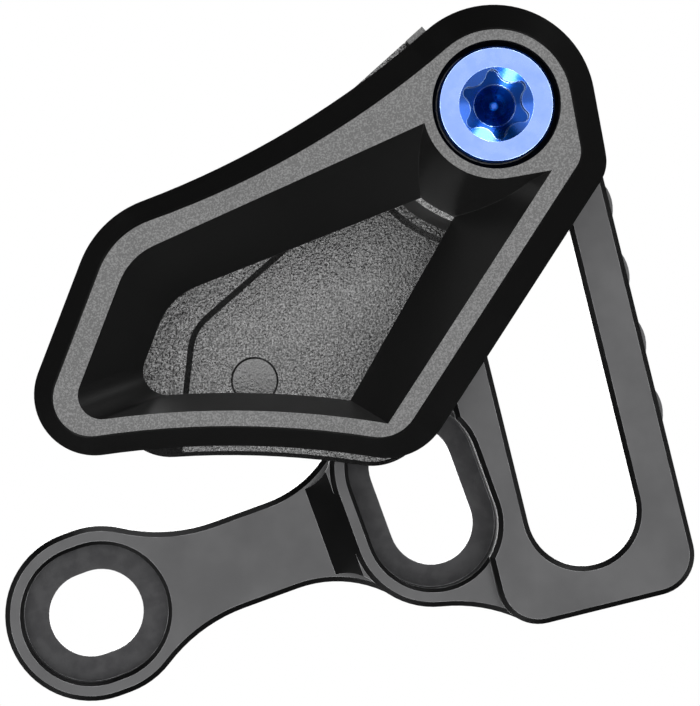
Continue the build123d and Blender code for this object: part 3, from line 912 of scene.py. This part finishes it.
@dataclass(frozen=True)
class ScrewThread:
    """Sizes of a screw thread on the end of a bolt.

    Attributes:
        crest: Radius over the crests.
        root: Radius at the roots.
        pitch: Length of one turn.
        length: Length of the threaded bar.
        chamfer: Bevel at the tip.
        run_out: Plain length where the bar enters the bolt's shank.
        sides: Points round the bar.
        rows: Rows of faces along the bar.
    """

    crest: float = 2.95 * MM
    root: float = 2.42 * MM
    pitch: float = 1.0 * MM
    length: float = 8.4 * MM
    chamfer: float = 0.5 * MM
    run_out: float = 0.7 * MM
    sides: int = 72
    rows: int = 112

    def inputs(self) -> dict[str, object]:
        """Name the sizes as the inputs of the thread's tree.

        Returns:
            Value of each input.
        """
        return {
            "Crest": self.crest,
            "Root": self.root,
            "Pitch": self.pitch,
            "Length": self.length,
            "Chamfer": self.chamfer,
            "Run Out": self.run_out,
            "Sides": self.sides,
            "Rows": self.rows,
        }


class ThreadTree:
    """Geometry Nodes tree that cuts a thread on a round bar and joins the bar to a bolt's head.

    Attributes:
        INPUTS: Kind of each input beside the head.
        BAR_INPUTS: Input that each size of the bar comes from.
        ROOT_SHARE: Share of a half turn that is the flat root.
        CREST_SHARE: Share of a half turn at which the flat crest starts.
        UNION_PARTS: Place of the joined meshes among a Mesh Boolean node's inputs.
    """

    INPUTS: ClassVar[dict[str, Socket]] = {
        "Crest": Socket.VALUE,
        "Root": Socket.VALUE,
        "Pitch": Socket.VALUE,
        "Length": Socket.VALUE,
        "Chamfer": Socket.VALUE,
        "Run Out": Socket.VALUE,
        "Sides": Socket.COUNT,
        "Rows": Socket.COUNT,
        "Middle": Socket.VECTOR,
        "Finish": Socket.MATERIAL,
    }
    BAR_INPUTS: ClassVar[dict[str, str]] = {
        "Vertices": "Sides",
        "Side Segments": "Rows",
        "Radius": "Crest",
        "Depth": "Length",
    }
    ROOT_SHARE: ClassVar[float] = 0.25
    CREST_SHARE: ClassVar[float] = 0.875
    UNION_PARTS: ClassVar[int] = 1

    def __init__(self) -> None:
        """Build the tree with its sockets."""
        self.tree = bpy.data.node_groups.new("screw_thread", "GeometryNodeTree")
        for way in ("INPUT", "OUTPUT"):
            self.tree.interface.new_socket(
                "Geometry", in_out=way, socket_type=Socket.GEOMETRY.value
            )
        for name, kind in self.INPUTS.items():
            self.tree.interface.new_socket(name, in_out="INPUT", socket_type=kind.value)
        graph = Graph(self.tree)
        source = graph.add("NodeGroupInput").outputs
        joined = graph.add("GeometryNodeMeshBoolean", operation="UNION", solver="EXACT")
        for part in (source["Geometry"], self._bar(graph, source)):
            graph.feed(joined.inputs[self.UNION_PARTS], part)
        real = graph.add("GeometryNodeRealizeInstances")
        graph.feed(real.inputs["Geometry"], joined.outputs["Mesh"])
        dressed = graph.add("GeometryNodeSetMaterial")
        graph.feed(dressed.inputs["Geometry"], real.outputs["Geometry"])
        graph.feed(dressed.inputs["Material"], source["Finish"])
        result = graph.add("NodeGroupOutput")
        graph.feed(result.inputs["Geometry"], dressed.outputs["Geometry"])

    def _bar(self, graph: Graph, source: bpy.types.NodeOutputs) -> bpy.types.NodeSocket:
        """Make the threaded bar in its place, along Y.

        Args:
            graph: Graph of the tree.
            source: Sockets of the tree's inputs.

        Returns:
            The bar.
        """
        bar = graph.add("GeometryNodeMeshCylinder", fill_type="NGON")
        for name, size in self.BAR_INPUTS.items():
            graph.feed(bar.inputs[name], source[size])
        cut = graph.add("GeometryNodeSetPosition")
        graph.feed(cut.inputs["Geometry"], bar.outputs["Mesh"])
        graph.feed(cut.inputs["Position"], self._thread(graph, source))
        placed = graph.add("GeometryNodeTransform")
        graph.feed(placed.inputs["Geometry"], cut.outputs["Geometry"])
        graph.feed(placed.inputs["Translation"], source["Middle"])
        graph.feed(placed.inputs["Rotation"], (QUARTER_TURN, 0.0, 0.0))
        return placed.outputs["Geometry"]

    def _thread(self, graph: Graph, source: bpy.types.NodeOutputs) -> bpy.types.NodeSocket:
        """Work out where each point of the bar goes.

        Args:
            graph: Graph of the tree.
            source: Sockets of the tree's inputs.

        Returns:
            The new position.
        """
        place = graph.add("GeometryNodeInputPosition").outputs["Position"]
        split = graph.add("ShaderNodeSeparateXYZ")
        graph.feed(split.inputs["Vector"], place)
        x, y, z = split.outputs
        turn = graph.math("DIVIDE", graph.math("ARCTAN2", y, x), FULL_TURN)
        turns_up = graph.math("DIVIDE", z, source["Pitch"])
        phase = graph.math("FRACT", graph.math("SUBTRACT", turns_up, turn))
        off_middle = graph.math("ABSOLUTE", graph.math("SUBTRACT", phase, HALF))
        saw = graph.math("DIVIDE", off_middle, HALF)
        form = graph.add("ShaderNodeMapRange", interpolation_type="LINEAR")
        limits = (saw, self.ROOT_SHARE, self.CREST_SHARE, source["Root"], source["Crest"])
        for name, value in zip(Graph.RANGE_INPUTS, limits):
            graph.feed(form.inputs[name], value)
        half = graph.math("MULTIPLY", source["Length"], HALF)
        tip = graph.math("SUBTRACT", source["Crest"], source["Chamfer"])
        bevel = graph.math("ADD", graph.math("ADD", half, z), tip)
        from_head = graph.math("SUBTRACT", half, z)
        beyond = graph.math("SUBTRACT", from_head, source["Run Out"])
        fade = graph.math("ADD", source["Root"], graph.math("MAXIMUM", beyond, 0.0))
        limit = graph.math("MINIMUM", bevel, fade)
        radius = graph.math("MINIMUM", form.outputs["Result"], limit)
        share = graph.math("DIVIDE", radius, source["Crest"])
        joined = graph.add("ShaderNodeCombineXYZ")
        graph.feed(joined.inputs["X"], graph.math("MULTIPLY", x, share))
        graph.feed(joined.inputs["Y"], graph.math("MULTIPLY", y, share))
        graph.feed(joined.inputs["Z"], z)
        return joined.outputs["Vector"]

    def apply(self, piece: bpy.types.Object, values: dict[str, object]) -> None:
        """Run the tree on a bolt's head and keep the result as a plain mesh.

        Args:
            piece: Object that holds the head.
            values: Values of the tree's inputs by name.
        """
        modifier = piece.modifiers.new(self.tree.name, "NODES")
        modifier.node_group = self.tree
        for item in self.tree.interface.items_tree:
            if item.item_type == "SOCKET" and item.in_out == "INPUT" and item.name in values:
                modifier[item.identifier] = values[item.name]
        ready = piece.evaluated_get(bpy.context.evaluated_depsgraph_get())
        mesh = bpy.data.meshes.new_from_object(ready)
        piece.modifiers.remove(modifier)
        piece.data = mesh


@dataclass
class Bracket:
    """Slotted metal bracket that bolts to the bicycle frame.

    Attributes:
        tilt: Angle of the line from the eye to the boss.
        bolt_spacing: Distance between the two frame bolts.
        seat_height: Height of the bolt seats above the frame face.
    """

    tilt: float = math.radians(20.0)
    bolt_spacing: float = 27.3 * MM
    seat_height: float = 1.8 * MM

    def dress(self, frame: dict, effects: SharedEffects) -> None:
        """Give the bracket its finish.

        Args:
            frame: Loaded frame.
            effects: Shared groups.
        """
        boss_x = self.bolt_spacing * math.cos(self.tilt)
        boss_z = self.bolt_spacing * math.sin(self.tilt)
        finish = AnodisedPlate(
            name="black_anodised_plate",
            colour=(0.028, 0.028, 0.0285),
            # Lighter edge colour: partly rubbed metal, partly a painted highlight on the plate's
            # sharp edges.
            worn_and_glint=(0.12, 0.12, 0.123),
            roughness=0.36,
            wear_and_glint=1.0,
            edge=0.07 * MM,
            grain=0.11 * MM,
            depth=0.0022 * MM,
            seats=(ORIGIN, (boss_x, 0.0, boss_z)),
            seat_height=self.seat_height,
            seat_colour=(0.0165, 0.0165, 0.017),
            seat_stain=(0.0125, 0.0125, 0.013),
            blotches=Mottle(size=1.3 * MM, detail=4.0, rough=0.65),
            seat_roughness=0.42,
            ring_pitch=0.09 * MM,
            ring_depth=0.002 * MM,
        )
        paint(frame, Node.MOUNT_PLATE, finish.make(effects))


@dataclass
class Cage:
    """Moulded halves that guide the chain.

    Attributes:
        ejector: Smooth mark of the ejector pin on the inner half.
    """

    ejector: SmoothSpot = SmoothSpot(middle=(12.419 * MM, 0.0, 18.387 * MM), radius=1.85 * MM)

    def dress(self, frame: dict, effects: SharedEffects) -> None:
        """Give both halves their grain.

        Args:
            frame: Loaded frame.
            effects: Shared groups.
        """
        outer = MouldedNylon(
            name="outer_half_nylon",
            colour=(0.002, 0.002, 0.002),
            # Lighter edge colour: partly rubbing, partly a painted highlight on the moulded edges.
            worn_and_glint=(0.03, 0.03, 0.03),
            roughness=0.38,
            wear_and_glint=0.5,
            edge=0.05 * MM,
            flecked=(0.03, 0.03, 0.03),
            grain=0.24 * MM,
            depth=0.04 * MM,
            wall_depth=0.006 * MM,
            specular=0.41,
            wall_roughness=0.28,
            steep_roughness=0.5,
        )
        inner = MouldedNylon(
            name="inner_half_nylon",
            colour=(0.002, 0.002, 0.002),
            # Lighter edge colour: partly rubbing, partly a painted highlight on the moulded edges.
            worn_and_glint=(0.03, 0.03, 0.03),
            roughness=0.27,
            wear_and_glint=0.5,
            edge=0.05 * MM,
            flecked=(0.085, 0.085, 0.085),
            grain=0.27 * MM,
            depth=0.19 * MM,
            wall_depth=0.012 * MM,
            specular=0.5,
            wall_roughness=0.27,
            steep_roughness=0.6,
            spot=self.ejector,
        )
        paint(frame, Node.OUTER_CAGE, outer.make(effects))
        paint(frame, Node.INNER_CAGE, inner.make(effects))


@dataclass
class Fastener:
    """Bolt that clamps the cage, and the nut that slides behind the leg.

    Attributes:
        thread: Thread on the bolt's end.
        plain_height: Height above the frame face at which the plain shank ends.
        weld: Distance within which points of a copied solid are joined.
        crease: Angle above which an edge stays sharp.
        BODY: Body that the bolt moves with.
        SLOT: Material slot of the bolt in the record.
        CAD_SHADING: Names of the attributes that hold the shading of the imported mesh.
    """

    BODY: ClassVar[str] = "cage"
    SLOT: ClassVar[str] = "blue_anodised"
    CAD_SHADING: ClassVar[tuple[str, ...]] = ("custom_normal", "sharp_edge", "sharp_face")

    thread: ScrewThread = ScrewThread()
    plain_height: float = 9.3 * MM
    weld: float = 0.0005 * MM
    crease: float = math.radians(28.0)

    def dress(self, frame: dict, effects: SharedEffects) -> None:
        """Cut the bolt's thread, and give the bolt and the nut their finishes.

        Args:
            frame: Loaded frame.
            effects: Shared groups.
        """
        low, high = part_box(Node.CAGE_BOLT.value)
        middle = (low + high) * HALF
        axis = (middle.x, 0.0, middle.z)
        bolt = ClearAnodised(
            name="blue_anodised_bolt",
            # Greyer blue on the front faces and a deeper blue on the rest: lit and shaded copies
            # of one blue, the front a painted highlight.
            colour=(0.020, 0.050, 0.20),
            # Pale blue edge colour: partly rubbing, mostly a painted highlight for glints on the
            # socket's edges, the drilled rim and the head's rim.
            worn_and_glint=(0.5, 0.7, 1.0),
            roughness=0.26,
            wear_and_glint=0.9,
            edge=0.08 * MM,
            centre=axis,
            ring_pitch=0.09 * MM,
            ring_depth=0.0022 * MM,
            stain=(0.038, 0.070, 0.22),
            side=(0.001, 0.075, 0.42),
            coat=0.95,
            side_coat=0.7,
            coat_roughness=0.14,
            # Darker blue in the key socket: painted shade for the deep socket.
            painted_socket_shade=(0.0004, 0.022, 0.135),
            socket=Recess(radius=2.72 * MM, height=24.75 * MM, fade=0.5 * MM, amount=0.85),
            drilled=Recess(radius=1.6 * MM, height=22.8 * MM, fade=0.2 * MM, amount=8.0),
        )
        nut = TurnedAnodised(
            name="black_anodised_nut",
            colour=(0.032, 0.032, 0.034),
            # Lighter edge colour: partly rubbing, partly a painted highlight on the nut's edges.
            worn_and_glint=(0.12, 0.12, 0.12),
            roughness=0.38,
            wear_and_glint=0.8,
            edge=0.06 * MM,
            centre=axis,
            ring_pitch=0.12 * MM,
            ring_depth=0.002 * MM,
            stain=(0.026, 0.026, 0.028),
            side=(0.032, 0.032, 0.034),
        )
        bar_middle = Vector((middle.x, high.y - self.thread.length * HALF, middle.z))
        self._cut_thread(frame, bolt.make(effects), bar_middle)
        paint(frame, Node.SLIDER_NUT, nut.make(effects))

    def _cut_thread(self, frame: dict, finish: bpy.types.Material, middle: Vector) -> None:
        """Stand a bolt with a cut thread in the place of the plain one.

        Args:
            frame: Loaded frame.
            finish: Finish of the bolt.
            middle: Middle of the threaded bar.
        """
        head = self._head(frame["nodes"][Node.CAGE_BOLT.value].data)
        piece = bpy.data.objects.new("threaded_bolt", head)
        bpy.context.scene.collection.objects.link(piece)
        ThreadTree().apply(piece, {**self.thread.inputs(), "Middle": middle, "Finish": finish})
        piece.data.shade_smooth()
        piece.data.set_sharp_from_angle(angle=self.crease)
        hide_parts(Node.CAGE_BOLT.value)
        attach(piece, self.BODY)
        faces = len(piece.data.polygons)
        LOG.info("%s has %d faces and the finish %s", piece.name, faces, finish.name)

    def _head(self, solid: bpy.types.Mesh) -> bpy.types.Mesh:
        """Copy the head and the plain shank of the bolt as a closed mesh.

        Args:
            solid: Mesh of the whole bolt.

        Returns:
            The new mesh.
        """
        shape = bmesh.new()
        shape.from_mesh(solid)
        bmesh.ops.remove_doubles(shape, verts=shape.verts, dist=self.weld)
        bmesh.ops.bisect_plane(
            shape,
            geom=[*shape.verts, *shape.edges, *shape.faces],
            plane_co=(0.0, -self.plain_height, 0.0),
            plane_no=BACK,
            clear_outer=True,
        )
        rim = [edge for edge in shape.edges if edge.is_boundary]
        bmesh.ops.holes_fill(shape, edges=rim, sides=0)
        bmesh.ops.recalc_face_normals(shape, faces=shape.faces)
        mesh = bpy.data.meshes.new("bolt_head")
        shape.to_mesh(mesh)
        shape.free()
        for name in self.CAD_SHADING:
            if name in mesh.attributes:
                mesh.attributes.remove(mesh.attributes[name])
        return mesh


@dataclass(frozen=True)
class Panel:
    """Soft square light panel aimed at the guide.

    Attributes:
        name: Name of the light.
        azimuth: Direction round the guide, degrees, 0 at the front.
        elevation: Height above the horizon, degrees.
        size: Side of the panel.
        glow: Brightness of the panel's face.
        spares_outer: Leave the outer half of the cage unlit, so that its sloping walls stay dark.
        distance: Distance from the guide.
    """

    name: str
    azimuth: float
    elevation: float
    size: float
    glow: float
    spares_outer: bool = False
    distance: float = 0.62

    def build(self, target: Vector, others: bpy.types.Collection) -> None:
        """Make the light.

        Args:
            target: Point that the panel faces.
            others: Every piece but the outer half.
        """
        light = bpy.data.lights.new(self.name, "AREA")
        light.shape = "SQUARE"
        light.size = self.size
        light.energy = self.glow * math.pi * self.size * self.size
        panel = bpy.data.objects.new(self.name, light)
        turn, rise = math.radians(self.azimuth), math.radians(self.elevation)
        level = math.cos(rise)
        way = Vector((math.sin(turn) * level, -math.cos(turn) * level, math.sin(rise)))
        panel.location = target + way * self.distance
        panel.rotation_euler = way.to_track_quat("Z", "Y").to_euler()
        panel.visible_camera = False
        if self.spares_outer:
            panel.light_linking.receiver_collection = others
        bpy.context.scene.collection.objects.link(panel)


def cosines(*angles: float) -> Range:
    """Turn two angles in degrees from the front into a range of cosines."""
    first, second = (math.cos(math.radians(angle)) for angle in angles)
    return first, second


@dataclass
class Studio:
    """Camera, light panels, backdrop and floor.

    Attributes:
        centre: Point in the middle of the picture.
        camera_distance: Distance of the camera from that point.
        camera_turn: Turn of the camera round the guide.
        pixels: Pixels in a metre at the centre.
        image: Width and height of the picture in pixels.
        sensor: Width of the camera's sensor in millimetres.
        floor_height: Height of the floor.
        floor_radius: Radius of the floor.
        floor_sides: Sides of the floor's outline.
        floor_colour: Main colour of the floor.
        floor_stain: Second colour of the floor.
        floor_clouds: Pattern of the second colour.
        floor_spread: Noise at which that pattern starts and is full.
        floor_share: Share of the second colour in a full cloud.
        floor_roughness: Roughness of the floor.
        backdrop: Brightness of the backdrop as the camera sees it.
        fill: Brightness that the backdrop sheds on the guide from the sides and the back.
        ring: Brightness of the ring of light round the camera.
        ring_outside: Cosines of the ring's outer edge, which is soft.
        ring_inside: Cosines of the ring's inner edge, which is soft.
        ring_gap: Rise at which the ring starts to fade at the top and ends.
        panels: Light panels.
    """

    WHITE: ClassVar[tuple[float, ...]] = (1.0, 1.0, 1.0, 1.0)

    centre: Point = (19.89 * MM, -8.0 * MM, 20.54 * MM)
    camera_distance: float = 450.0 * MM
    camera_turn: float = math.radians(-1.6)
    pixels: float = 12.8 / MM
    image: tuple[int, int] = (700, 706)
    sensor: float = 36.0
    floor_height: float = -36.0 * MM
    floor_radius: float = 240.0 * MM
    floor_sides: int = 128
    floor_colour: Colour = (0.82, 0.82, 0.82)
    floor_stain: Colour = (0.7, 0.7, 0.7)
    floor_clouds: Mottle = Mottle(size=40.0 * MM, detail=2.0)
    floor_spread: Range = (0.3, 0.7)
    floor_share: float = 0.05
    floor_roughness: float = 0.9
    backdrop: float = 1.0
    fill: float = 0.02
    ring: float = 1.1
    ring_outside: Range = cosines(70.0, 62.0)
    ring_inside: Range = cosines(54.0, 46.0)
    ring_gap: Range = (0.62, 0.76)
    panels: tuple[Panel, ...] = field(
        default=(
            Panel("front_panel", azimuth=0.0, elevation=0.0, size=0.72, glow=5.8),
            Panel("left_panel", azimuth=-64.0, elevation=18.0, size=0.34, glow=1.6),
            Panel("right_panel", azimuth=64.0, elevation=18.0, size=0.34, glow=1.6),
            Panel("upper_right_panel", azimuth=34.2, elevation=53.0, size=0.24, glow=17.0),
            Panel("lower_left_panel", azimuth=-34.2, elevation=-53.0, size=0.24, glow=17.0),
            Panel("upper_strip", azimuth=13.7, elevation=29.2, size=0.12, glow=14.0),
            Panel("lower_strip", azimuth=-13.7, elevation=-29.2, size=0.12, glow=14.0),
            Panel("back_panel", azimuth=180.0, elevation=8.0, size=0.50, glow=4.5),
            Panel(
                "back_left_panel",
                azimuth=-138.0,
                elevation=-12.0,
                size=0.50,
                glow=5.0,
                spares_outer=True,
            ),
            Panel(
                "back_right_panel",
                azimuth=138.0,
                elevation=-12.0,
                size=0.50,
                glow=5.0,
                spares_outer=True,
            ),
            Panel(
                "top_panel",
                azimuth=180.0,
                elevation=76.0,
                size=0.40,
                glow=2.5,
                spares_outer=True,
            ),
        )
    )

    def build(self, frame: dict) -> None:
        """Set up the whole studio.

        Args:
            frame: Loaded frame.
        """
        self._camera()
        self._world()
        self._floor()
        outer = frame["nodes"][Node.OUTER_CAGE.value]
        others = bpy.data.collections.new("all_but_outer_half")
        for piece in bpy.context.scene.objects:
            if piece.type == "MESH" and piece != outer:
                others.objects.link(piece)
        for panel in self.panels:
            panel.build(Vector(self.centre), others)
        bpy.context.scene.view_settings.view_transform = "Standard"
        LOG.info("studio has %d light panels", len(self.panels))

    def _camera(self) -> None:
        """Place the camera before the guide's front, a little to its left."""
        data = bpy.data.cameras.new("photo_camera")
        data.sensor_width = self.sensor
        data.lens = self.sensor * self.camera_distance * self.pixels / max(self.image)
        camera = bpy.data.objects.new("photo_camera", data)
        way = Vector((math.sin(self.camera_turn), -math.cos(self.camera_turn), 0.0))
        camera.location = Vector(self.centre) + way * self.camera_distance
        camera.rotation_euler = (QUARTER_TURN, 0.0, self.camera_turn)
        bpy.context.scene.collection.objects.link(camera)
        bpy.context.scene.camera = camera

    def _world(self) -> None:
        """Make a white backdrop that lights the guide mostly from a ring round the camera."""
        world = bpy.data.worlds.new("backdrop")
        world.use_nodes = True
        graph = Graph(world.node_tree)
        graph.tree.nodes.clear()
        seen = graph.add("ShaderNodeLightPath").outputs["Is Camera Ray"]
        way = graph.add("ShaderNodeTexCoord").outputs["Generated"]
        front, rise = graph.dot(way, FRONT), graph.dot(way, UP)
        outside = graph.ramp(front, *self.ring_outside, start=self.fill, end=self.ring)
        inside = graph.ramp(front, *self.ring_inside, start=1.0, end=0.0)
        below = graph.ramp(rise, *self.ring_gap, start=1.0, end=0.0)
        lit = graph.math("MULTIPLY", outside, graph.math("MULTIPLY", inside, below))
        glow = graph.add("ShaderNodeBackground")
        graph.feed(glow.inputs["Color"], self.WHITE)
        graph.feed(glow.inputs["Strength"], graph.between(seen, lit, self.backdrop))
        end = graph.add("ShaderNodeOutputWorld")
        graph.feed(end.inputs["Surface"], glow.outputs["Background"])
        bpy.context.scene.world = world

    def _floor(self) -> None:
        """Lay a plain pale floor below the guide."""
        material, graph, shader = new_material("pale_floor")
        place = graph.add("ShaderNodeTexCoord").outputs["Object"]
        noise = self.floor_clouds.noise(graph, place)
        shade = graph.ramp(noise, *self.floor_spread, end=self.floor_share)
        colour = graph.blend(shade, self.floor_colour, self.floor_stain)
        graph.feed(shader.inputs["Base Color"], colour)
        graph.feed(shader.inputs["Roughness"], self.floor_roughness)
        shape = bmesh.new()
        bmesh.ops.create_circle(
            shape, cap_ends=True, radius=self.floor_radius, segments=self.floor_sides
        )
        middle = Vector((self.centre[0], self.centre[1], self.floor_height))
        bmesh.ops.translate(shape, verts=shape.verts, vec=middle)
        mesh = bpy.data.meshes.new("floor")
        shape.to_mesh(mesh)
        shape.free()
        mesh.materials.append(material)
        floor = bpy.data.objects.new("floor", mesh)
        floor.visible_glossy = False
        floor.visible_shadow = False
        bpy.context.scene.collection.objects.link(floor)


def paint(frame: dict, node: Node, material: bpy.types.Material) -> None:
    """Give a solid its finish.

    Args:
        frame: Loaded frame.
        node: Solid to paint.
        material: Its finish.
    """
    mesh = frame["nodes"][node.value].data
    mesh.materials.clear()
    mesh.materials.append(material)
    LOG.info("%s has the finish %s", node.value, material.name)


def main() -> None:
    """Load the solids, dress each sub-assembly, and set up the studio."""
    logging.basicConfig(level=logging.INFO, format="%(message)s")
    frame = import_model()
    effects = SharedEffects()
    Bracket().dress(frame, effects)
    Cage().dress(frame, effects)
    Fastener().dress(frame, effects)
    Studio().build(frame)


if __name__ == "__main__":
    main()
